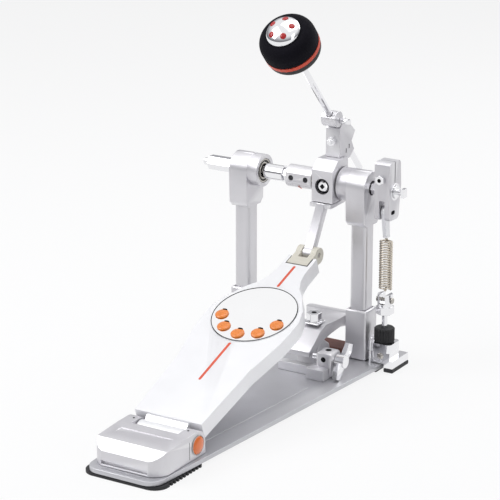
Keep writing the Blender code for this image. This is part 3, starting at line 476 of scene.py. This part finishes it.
# %% Dome and inlays
cap_low, cap_top = span("beater_cap", BEATER_UP, SHAFT)
CAP_RADIUS = girth("beater_cap", BEATER_UP, SHAFT)
CAP_HEIGHT = cap_top - cap_low
dome = [(0, cap_low), (CAP_RADIUS, cap_low)]
dome += [(CAP_RADIUS * cos(turn), cap_low + CAP_HEIGHT * sin(turn)) for turn in quarter(18)]
cap = add("domed_cap", turned(dome, head, 72), CHROME, "beater")
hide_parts("beater_cap")
for number in range(5):
    turn, lean = 2 * pi * number / 5 + radians(18), radians(38)
    out = CAP_RADIUS * sin(lean)
    spot = Vector((out * cos(turn), out * sin(turn), cap_low + CAP_HEIGHT * cos(lean) - 0.0009))
    across = sin(lean) / CAP_RADIUS
    slope = Vector((across * cos(turn), across * sin(turn), cos(lean) / CAP_HEIGHT))
    button = [(0, 0), (0.0031, 0), (0.0031, 0.0008), (0.0026, 0.0012), (0, 0.0013)]
    inlay = turned(button, head @ axes(spot, slope), 24)
    add(f"cap_inlay_{number + 1}", inlay, INLAY, "beater", 60)

# %% [markdown]
# ## Stripes, dots and painted shade round the mirror
# The painted stripes are thin films on the board's top. The orange dots are
# pillows, each with a dark slab of painted shade for the notch at its upper edge. A thin
# dark ring of painted shade sets off the mirror plate, and a dark strip of painted shade
# shows the gap where the toe insert is let in.

# %% On the footboard
def along_board(point):
    return (point - BOARD_START).dot(BOARD_ALONG)


def on_board(across, along, above=0.0):
    return axes(BOARD_START + X * across + BOARD_ALONG * along + BOARD_UP * above, BOARD_UP)


PLATE = along_board(middle("traction_plate"))
PLATE_RADIUS = girth("traction_plate", BOARD_UP, middle("traction_plate"))
PLATE_TOP = span("traction_plate", BOARD_UP, BOARD_START)[1]
for name, start, end in (("lower", PLATE - 0.105, PLATE - 0.0465), ("upper", PLATE + 0.046, PLATE + 0.0815)):
    film = slab(pill((end - start) / 2, 0.0014), 0.00012, on_board(0, (start + end) / 2), 0.00003)
    add(f"stripe_{name}", film, STRIPE, "board")

DOT_RADIUS = girth("traction_dot_1", BOARD_UP, middle("traction_dot_1"))
for number in range(1, 6):
    node = f"traction_dot_{number}"
    below = span(node, BOARD_UP, middle(node))[0]
    place = axes(middle(node) + BOARD_UP * below, BOARD_UP)
    pillow = [(0, 0), (DOT_RADIUS, 0), (DOT_RADIUS, 0.0006)]
    pillow += [(DOT_RADIUS * cos(t), 0.0006 + 0.0015 * sin(t)) for t in quarter(8)[1:]]
    dot = add(f"grip_dot_{number}", turned(pillow, place, 40), DOT, "board", 60)
    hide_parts(node)
    # Painted shade: a thin dark slab at each dot's upper edge stands for the shade in its notch.
    notch_place = place @ Matrix.Translation((0, DOT_RADIUS * 0.9, 0.0003))
    add(f"dot_notch_shade_{number}", slab(oval(0.0027, 0.0012), 0.0014, notch_place), SHADOW, "board")

# Painted shade: a thin dark ring round the mirror plate stands for the shade in the gap at its edge.
rim_shade = ring(PLATE_RADIUS - 0.0007, PLATE_RADIUS - 0.0001, 0.0003, on_board(0, PLATE, PLATE_TOP), 96)
add("plate_rim_shade", rim_shade, SHADOW, "board")

insert_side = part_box("toe_insert")[1].x
insert_start = span("toe_insert", BOARD_ALONG, BOARD_START)[0]
board_end = span("footboard", BOARD_ALONG, BOARD_START)[1]
JOINT_NEAR, JOINT_FAR, JOINT_END = 0.0002, 0.0009, 0.001
near, far = insert_side + JOINT_NEAR, insert_side + JOINT_FAR
inner, outer = insert_start - JOINT_NEAR, insert_start - JOINT_FAR
end = board_end - JOINT_END
# Painted shade: a thin dark strip round the toe insert stands for the shade in the gap where it is let in.
joint = [(-far, outer), (far, outer), (far, end), (near, end)]
joint += [(near, inner), (-near, inner), (-near, end), (-far, end)]
add("insert_gap_shade", slab(joint, 0.00012, on_board(0, 0), 0.00003), SHADOW, "board")

# %% [markdown]
# ## The return spring
# A real return spring is a close coil of round wire that ends in hooks. One swept
# curve makes coil and hooks in a single length, and it
# is turned into a mesh so that it rides like the rest.

# %% A close coil with hooked ends
def swept(name, points, radius):
    """A round wire through points, as a mesh."""
    curve = bpy.data.curves.new(name, "CURVE")
    curve.dimensions = "3D"
    curve.bevel_depth = radius
    curve.bevel_resolution = 3
    curve.use_fill_caps = True
    wire = curve.splines.new("POLY")
    wire.points.add(len(points) - 1)
    for point, place in zip(wire.points, points):
        point.co = (*place, 1)
    guide = bpy.data.objects.new(name, curve)
    bpy.context.scene.collection.objects.link(guide)
    graph = bpy.context.evaluated_depsgraph_get()
    mesh = bpy.data.meshes.new_from_object(guide.evaluated_get(graph))
    bpy.data.objects.remove(guide)
    mesh.materials.clear()
    made = bmesh.new()
    made.from_mesh(mesh)
    return mesh_from(made, name, Matrix.Identity(4))


SPRING_X = middle("return_spring").x
spring_low, spring_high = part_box("return_spring")
COIL_RADIUS, WIRE, TURNS, PER_TURN, LEAD = 0.0061, 0.00085, 20, 20, 0.0048
coil_low, coil_high = spring_low.z + LEAD, spring_high.z - LEAD / 2
path = []
for i in range(TURNS * PER_TURN + 1):
    turn, share = 2 * pi * i / PER_TURN, i / (TURNS * PER_TURN)
    height = coil_low + (coil_high - coil_low) * share
    path.append(Vector((SPRING_X + COIL_RADIUS * cos(turn), COIL_RADIUS * sin(turn), height)))


def hook(height, up, reach=0.0017, count=10):
    """An open loop of wire across the strap, beyond one end of the coil."""
    turns = [radians(-50) + radians(280) * i / count for i in range(count + 1)]
    centre = height + up * reach * 0.3
    return [Vector((SPRING_X, reach * cos(t), centre + up * reach * sin(t))) for t in turns]


path = hook(coil_low, -1)[::-1] + path + hook(coil_high, 1)
coil = add("spring_coil", swept("coil", path, WIRE), SPRING, "spring", 60)
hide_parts("return_spring")
print("spring turns:", TURNS, "wire in mm:", round(WIRE * 2000, 2))

# %% [markdown]
# ## Bearings
# A bearing shows two bright races with a dark seal sunk between them. Three thin
# rings do it, and the outer race stands for the plain ring of the frame.

# %% Two bearings
for side, outward in (("left", 1), ("right", -1)):
    node = f"bearing_{side}"
    low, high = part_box(node)
    face = high.x if outward > 0 else low.x
    outer = girth(node, X, AXLE)
    depth = high.x - low.x
    place = axes(Vector((face - outward * depth, AXLE.y, AXLE.z)), X * outward)
    race = add(f"outer_race_{side}", ring(outer - 0.0016, outer, depth, place), STEEL, "frame")
    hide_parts(node)
    seal = ring(0.0091, outer - 0.0018, depth - 0.0006, place)
    add(f"bearing_seal_{side}", seal, DARK, "frame")
    add(f"inner_race_{side}", ring(0.0074, 0.0089, depth, place), STEEL, "frame")

# %% [markdown]
# ## The hub and its collar
# The hub's bolt sits in a round recess, whose shade is painted as a dark ring on its floor,
# and takes a square key, whose hole is painted shade. A hexagon
# spacer nearly fills the space between collar and hub, and a red index mark runs along
# the collar's underside.

# %% Hub, collar and holder: spacer, index mark and painted shade
FILM, FILM_EDGE = 0.0002, 0.00005
bolt_low, bolt_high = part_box("hub_bolt")
bolt_front = Vector((0, bolt_low.y, middle("hub_bolt").z))
bolt_back = Vector((0, bolt_high.y, bolt_front.z))
# Painted shade: a dark ring on the recess floor and a dark square on the bolt's face stand for the shade in
# the recess and in the key hole.
add("recess_shade", ring(0.0057, 0.0079, 0.0004, axes(bolt_back, -Y)), SHADOW, "rocker")
add("bolt_key_shade", slab(oval(0.0029, 0.0029, 4), FILM, axes(bolt_front, -Y), FILM_EDGE), SHADOW, "rocker")

hub_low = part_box("hub")[0]
collar_low, collar_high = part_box("collar")
spacer_length = hub_low.x - collar_high.x - 0.0008
spacer_place = axes(Vector((collar_high.x + 0.0004, AXLE.y, AXLE.z)), X)
add("hex_spacer", ring(0.0072, 0.0098, spacer_length, spacer_place, 6), STEEL, "rocker", 20)
under = Vector((0, -0.5, -0.866))
mark = AXLE + X * (collar_low.x + collar_high.x) / 2 + under * (collar_high.z - AXLE.z)
mark_place = axes(mark, under, Y) @ Matrix.Rotation(pi / 2, 4, "Z")
add("index_mark", slab(pill(0.0042, 0.0009), 0.0003, mark_place), STRIPE, "rocker")

# Painted shade: two thin dark slabs on the holder's side stand for the shade in its slits.
holder_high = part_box("beater_holder")[1]
for number, (back, up) in enumerate(((0.0135, 0.0305), (0.0195, 0.0340)), start=1):
    spot = Vector((holder_high.x, AXLE.y + back, AXLE.z + up))
    add(f"holder_slit_shade_{number}", slab(pill(0.0024, 0.0006), FILM, axes(spot, X)), SHADOW, "rocker")

# %% [markdown]
# ## The spring cam
# A bright washer lies under the end bolt, and the clamp bolt takes a six-sided key, whose hole
# is painted as a dark hexagon of shade. The strap's pin ends in an oblong hole, whose shade
# is painted as a dark oblong on the cam's side.

# %% Cam details
cam_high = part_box("spring_cam")[1]
pin_point = middle("strap_pin")
side_face = Vector((cam_high.x, pin_point.y, pin_point.z))
# Painted shade: a dark oblong on the cam's side stands for the shade in the pin's hole, and a dark hexagon on
# the clamp bolt for the shade in its key hole.
hole_place = axes(side_face, X, Y) @ Matrix.Rotation(pi / 2, 4, "Z")
add("pin_hole_shade", slab(pill(0.0038, 0.0021), FILM, hole_place), SHADOW, "rocker")
cam_bolt = middle("cam_bolt")
bolt_face = Vector((cam_bolt.x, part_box("cam_bolt")[0].y, cam_bolt.z))
add("cam_bolt_key_shade", slab(oval(0.0022, 0.0022, 6), FILM, axes(bolt_face, -Y), FILM_EDGE), SHADOW, "rocker")
end_bolt = Vector((cam_high.x, AXLE.y, AXLE.z))
add("end_washer", ring(0.0068, 0.0088, 0.0009, axes(end_bolt, X)), CHROME, "rocker")

# %% [markdown]
# ## The spring's foot
# The tension knob is knurled so that it can be turned by hand. Its outline is a
# ring of teeth with the rod's bore left open. A pin holds the spring in the
# clevis, and a wire clip and a screw sit on the front of the bracket.

# %% Knurled knob, pin, clip and screw
def knurled(bore, outer, height, place, teeth, depth):
    """A ring whose outside is cut into teeth."""
    made = bmesh.new()
    count = teeth * 4
    rings = []
    for radius, level, cut in ((bore, 0, 0), (outer - 0.001, 0, 0), (outer, 0.001, depth),
                               (outer, height - 0.001, depth), (outer - 0.001, height, 0), (bore, height, 0)):
        turns = [2 * pi * i / count for i in range(count)]
        out = [radius - cut * (i % 4 > 1) for i in range(count)]
        rings.append([made.verts.new((r * cos(t), r * sin(t), level)) for r, t in zip(out, turns)])
    for lower, upper in zip(rings, rings[1:] + rings[:1]):
        for i in range(count):
            j = (i + 1) % count
            made.faces.new((lower[i], lower[j], upper[j], upper[i]))
    return mesh_from(made, "knurled", place)


knob_low, knob_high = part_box("tension_knob")
knob_place = axes(Vector((SPRING_X, 0, knob_low.z)), Z)
knob_radius = (knob_high.x - knob_low.x) / 2
rod_low, rod_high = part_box("tension_rod")
rod_bore = (rod_high.x - rod_low.x) / 2 + 0.0003
knob_mesh = knurled(rod_bore, knob_radius, knob_high.z - knob_low.z, knob_place, 22, 0.0007)
knob = add("knurled_knob", knob_mesh, RUBBER, "knob", 25)
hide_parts("tension_knob")

pin_height = joints["spring_sway"]["pos_m"][2]
pin = [(0, 0), (0.0028, 0), (0.0032, 0.0006), (0.0032, 0.0012), (0.0019, 0.0012), (0.0019, 0.0168)]
pin += [(0.0032, 0.0168), (0.0032, 0.0174), (0.0028, 0.0180), (0, 0.0180)]
pin_place = axes(Vector((SPRING_X - 0.0090, 0, pin_height)), X)
add("clevis_pin", turned(pin, pin_place, 32), STEEL, "frame")

bracket_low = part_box("spring_bracket")[0]
clip_x, clip_y = SPRING_X - 0.0095, bracket_low.y - 0.0015
clip = [(clip_x, clip_y, 0.0065), (clip_x, clip_y, 0.0325), (clip_x + 0.0006, clip_y, 0.0344)]
clip += [(clip_x + 0.0022, clip_y, 0.0352), (clip_x + 0.0052, clip_y, 0.0352)]
add("wire_clip", swept("clip", clip, 0.0010), CHROME, "frame", 60)
screw_head = [(0, 0), (0.0034, 0), (0.0034, 0.0005)]
screw_head += [(0.0034 * cos(t), 0.0005 + 0.0013 * sin(t)) for t in quarter(8)[1:]]
screw_face = Vector((SPRING_X + 0.001, bracket_low.y + 0.0015, 0.0165))
add("bracket_screw", turned(screw_head, axes(screw_face, -Y), 32), STEEL, "frame", 60)

# %% [markdown]
# ## The hoop clamp's hardware
# The jaw's bolt takes a square key, and the shade in its hole is painted as a round dark
# patch; the shade in the swivel block's holes on its front and on its top is painted dark too.

# %% Painted shade for the clamp's holes
# Painted shade: dark discs on the jaw bolt's top and on the swivel block's front and top stand for the shade
# in their holes.
jaw_bolt_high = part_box("jaw_bolt")[1]
bolt_top = Vector((middle("jaw_bolt").x, middle("jaw_bolt").y, jaw_bolt_high.z))
add("jaw_bolt_hole_shade", slab(oval(0.0026, 0.0026), FILM, axes(bolt_top, Z), FILM_EDGE), SHADOW, "jaw")
block_front = Vector((WING.x - 0.0150, WING.y - 0.0105, WING.z + 0.0020))
add("block_hole_shade", slab(oval(0.0027, 0.0027), FILM, axes(block_front, -Y), FILM_EDGE), SHADOW, "frame")
block_top = Vector((WING.x - 0.0150, WING.y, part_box("wing_bracket")[1].z))
add("block_pin_hole_shade", slab(oval(0.0032, 0.0032), FILM, axes(block_top, Z), FILM_EDGE), SHADOW, "frame")

# %% [markdown]
# ## The heel end
# The orange cap is a glossy dome in a bright ring. The shade in the seam down the block's
# side is painted as a thin dark strip, and two small dark dots of painted shade sit where the
# pins are by the hinge roller. The rubber mat's edge is cut into
# teeth, which show as a black serrated line under the plate.

# %% Hinge cap, and painted shade for the seam and pins
cap_place = axes(Vector((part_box("hinge_cap")[0].x, HINGE.y, HINGE.z)), X)
cap_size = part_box("hinge_cap")[1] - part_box("hinge_cap")[0]
button = [(0, 0), (cap_size.z / 2, 0)]
button += [(cap_size.z / 2 * cos(t), cap_size.x * sin(t)) for t in quarter(12)[1:]]
button_piece = add("orange_dome", turned(button, cap_place, 48), ORANGE, "frame", 60)
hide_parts("hinge_cap")
cap_ring = ring(cap_size.z / 2 + 0.0002, cap_size.z / 2 + 0.0009, 0.0006, cap_place)
add("cap_ring", cap_ring, STEEL, "frame")

block_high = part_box("heel_block")[1]
# Painted shade: a thin dark strip down the block's side stands for the shade in its seam.
seam_place = axes(Vector((block_high.x, HINGE.y - 0.0135, 0.0185)), X, Y)
SEAM_SIDE, SEAM_END = 0.0002, 0.0085
seam_shade = [(-SEAM_SIDE, -SEAM_END), (SEAM_SIDE, -SEAM_END), (SEAM_SIDE, SEAM_END), (-SEAM_SIDE, SEAM_END)]
add("side_seam_shade", slab(seam_shade, 0.00015, seam_place, 0.00004), SHADOW, "frame")
# Painted shade: two dark dots by the hinge roller stand for the shade where its pins sit.
for side in (-1, 1):
    spot = Vector((side * 0.0300, HINGE.y - 0.0025, block_high.z - 0.0001))
    pin_shade = slab(oval(0.0010, 0.0010, 20), FILM, axes(spot, Z), FILM_EDGE)
    add(f"roller_pin_shade_{side + 2}", pin_shade, SHADOW, "frame")

# %% [markdown]
# The mat follows the plate's rounded heel, so its outline is read off the node: a
# straight tapering side cut into teeth on each hand, closed by the rounded front.

# %% Serrated heel mat
mat_low, mat_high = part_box("heel_mat")
TOOTH, TOOTH_DEPTH, CORNER = 0.0052, 0.0016, 0.014


def toothed_side(side):
    """Points up one straight side of the mat, from its corner to its back edge."""
    count = int((mat_high.y - mat_low.y - CORNER) / TOOTH)
    points = []
    for i in range(count):
        start = mat_low.y + CORNER + i * TOOTH
        edge = mat_high.x - 0.0002
        points += [(side * edge, start), (side * edge, start + TOOTH / 2)]
        root = side * (edge - TOOTH_DEPTH)
        points += [(root, start + TOOTH / 2), (root, start + TOOTH)]
    return points


def mat_corner(side):
    """The rounded corner from the middle of the front to the side."""
    centre_x, centre_y = mat_high.x - 0.0002 - CORNER, mat_low.y + CORNER
    return [(side * (centre_x + CORNER * sin(t)), centre_y - CORNER * cos(t)) for t in quarter(10)[:-1]]


right_side = mat_corner(1) + toothed_side(1)
left_side = mat_corner(-1) + toothed_side(-1)
mat_outline = right_side + left_side[::-1]
mat_place = axes(Vector((0, 0, mat_low.z)), Z)
mat_mesh = slab(mat_outline, mat_high.z - mat_low.z, mat_place, 0.0002)
mat = add("serrated_mat", mat_mesh, RUBBER, "frame")
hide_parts("heel_mat")

# %% [markdown]
# ## Floor and light
# Bright metal is lit by what surrounds it. The world is white to the camera. To
# glossy rays it is a tall gradient, dark at the horizon and white overhead, which
# gives chrome its contrast, and to everything else it is a plain soft light.

# %% A studio
scene = bpy.context.scene
scene.view_settings.view_transform = "Standard"
world = bpy.data.worlds.new("studio")
scene.world = world
world.use_nodes = True
tree = world.node_tree
tree.nodes.clear()
rays = tree.nodes.new("ShaderNodeLightPath")


def background(strength, color=(1, 1, 1)):
    made = tree.nodes.new("ShaderNodeBackground")
    made.inputs["Strength"].default_value = strength
    made.inputs["Color"].default_value = (*color, 1)
    return made


soft, white, shine = background(0.38, (0.93, 0.95, 1.0)), background(1.0), background(1.0)
direction = tree.nodes.new("ShaderNodeTexCoord")
parts = tree.nodes.new("ShaderNodeSeparateXYZ")
sky = tree.nodes.new("ShaderNodeValToRGB")
tree.links.new(direction.outputs["Generated"], parts.inputs[0])
tree.links.new(parts.outputs["Z"], sky.inputs["Fac"])
sky.color_ramp.elements[0].position, sky.color_ramp.elements[0].color = 0.0, (0.16, 0.16, 0.17, 1)
sky.color_ramp.elements[1].position, sky.color_ramp.elements[1].color = 0.62, (1, 1, 1, 1)
horizon = sky.color_ramp.elements.new(0.26)
horizon.color = (0.42, 0.42, 0.44, 1)
tree.links.new(sky.outputs["Color"], shine.inputs["Color"])
shown = tree.nodes.new("ShaderNodeMixShader")
seen = tree.nodes.new("ShaderNodeMixShader")
out = tree.nodes.new("ShaderNodeOutputWorld")
tree.links.new(rays.outputs["Is Glossy Ray"], shown.inputs["Fac"])
tree.links.new(soft.outputs[0], shown.inputs[1])
tree.links.new(shine.outputs[0], shown.inputs[2])
tree.links.new(rays.outputs["Is Camera Ray"], seen.inputs["Fac"])
tree.links.new(shown.outputs[0], seen.inputs[1])
tree.links.new(white.outputs[0], seen.inputs[2])
tree.links.new(seen.outputs[0], out.inputs["Surface"])

# %% [markdown]
# Four soft lamps: the key high on the left, weaker ones to the right, above and
# behind.

# %% Lamps
CENTRE = Vector((-0.02, -0.12, 0.14))


def lamp(name, place, width, height, power):
    data = bpy.data.lights.new(name, "AREA")
    data.shape = "RECTANGLE"
    data.size, data.size_y, data.energy = width, height, power
    light = bpy.data.objects.new(name, data)
    scene.collection.objects.link(light)
    light.location = place
    light.rotation_euler = (CENTRE - Vector(place)).to_track_quat("-Z", "Y").to_euler()


lamp("key", (-1.1, -0.9, 1.3), 1.1, 1.1, 16)
lamp("fill", (1.4, -0.7, 0.8), 0.6, 1.2, 3)
lamp("top", (0.1, 0.1, 1.6), 1.3, 1.3, 9)
lamp("back", (0.3, 1.3, 0.9), 1.2, 0.8, 5)

# %% [markdown]
# The floor is nearly white to the camera, with a share of plain paper left in it,
# so that the pedal's shadow still shows.

# %% Floor
REACH, CAMERA_SHARE = 6.0, 0.82
made = bmesh.new()
bmesh.ops.create_grid(made, x_segments=8, y_segments=8, size=REACH)
floor = bpy.data.objects.new("floor", mesh_from(made, "floor", Matrix.Identity(4)))
scene.collection.objects.link(floor)
floor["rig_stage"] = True
paper, tree, shader = new_finish("paper", (0.86, 0.86, 0.87), 0.9, 0.0)
rays = tree.nodes.new("ShaderNodeLightPath")
glow = tree.nodes.new("ShaderNodeEmission")
share = tree.nodes.new("ShaderNodeMath")
share.operation = "MULTIPLY"
share.inputs[1].default_value = CAMERA_SHARE
tree.links.new(rays.outputs["Is Camera Ray"], share.inputs[0])
either = tree.nodes.new("ShaderNodeMath")
either.operation = "MAXIMUM"
tree.links.new(share.outputs[0], either.inputs[0])
tree.links.new(rays.outputs["Is Glossy Ray"], either.inputs[1])
mixed = tree.nodes.new("ShaderNodeMixShader")
tree.links.new(either.outputs[0], mixed.inputs["Fac"])
tree.links.new(shader.outputs[0], mixed.inputs[1])
tree.links.new(glow.outputs[0], mixed.inputs[2])
tree.links.new(mixed.outputs[0], tree.nodes["Material Output"].inputs["Surface"])
floor.data.materials.append(paper)

# %% [markdown]
# ## The camera
# A long lens from the front right, a little above the pedal, keeps its lines
# nearly parallel, as product pictures do.

# %% Camera
lens = bpy.data.cameras.new("camera")
lens.lens, lens.sensor_width = 154.05, 36
lens.clip_start, lens.clip_end = 0.05, 50
camera = bpy.data.objects.new("camera", lens)
scene.collection.objects.link(camera)
camera.location = (1.0276, -1.8184, 0.7739)
aim = Vector((-0.02379, -0.120, 0.14451))
camera.rotation_euler = (aim - camera.location).to_track_quat("-Z", "Y").to_euler()
scene.camera = camera

# %% [markdown]
# ## Has it kept its size?
# The frame's box is set against the finished model's, and how far each corner has
# moved is printed. They should agree to about a millimetre.

# %% Print how far the boxes differ, and finish
seen_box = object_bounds()
grown = [[round(1000 * (b - a), 2) for a, b in zip(p, q)] for p, q in zip(cad_box, seen_box)]
print("the finished model's corners against the frame's, in mm:", grown)
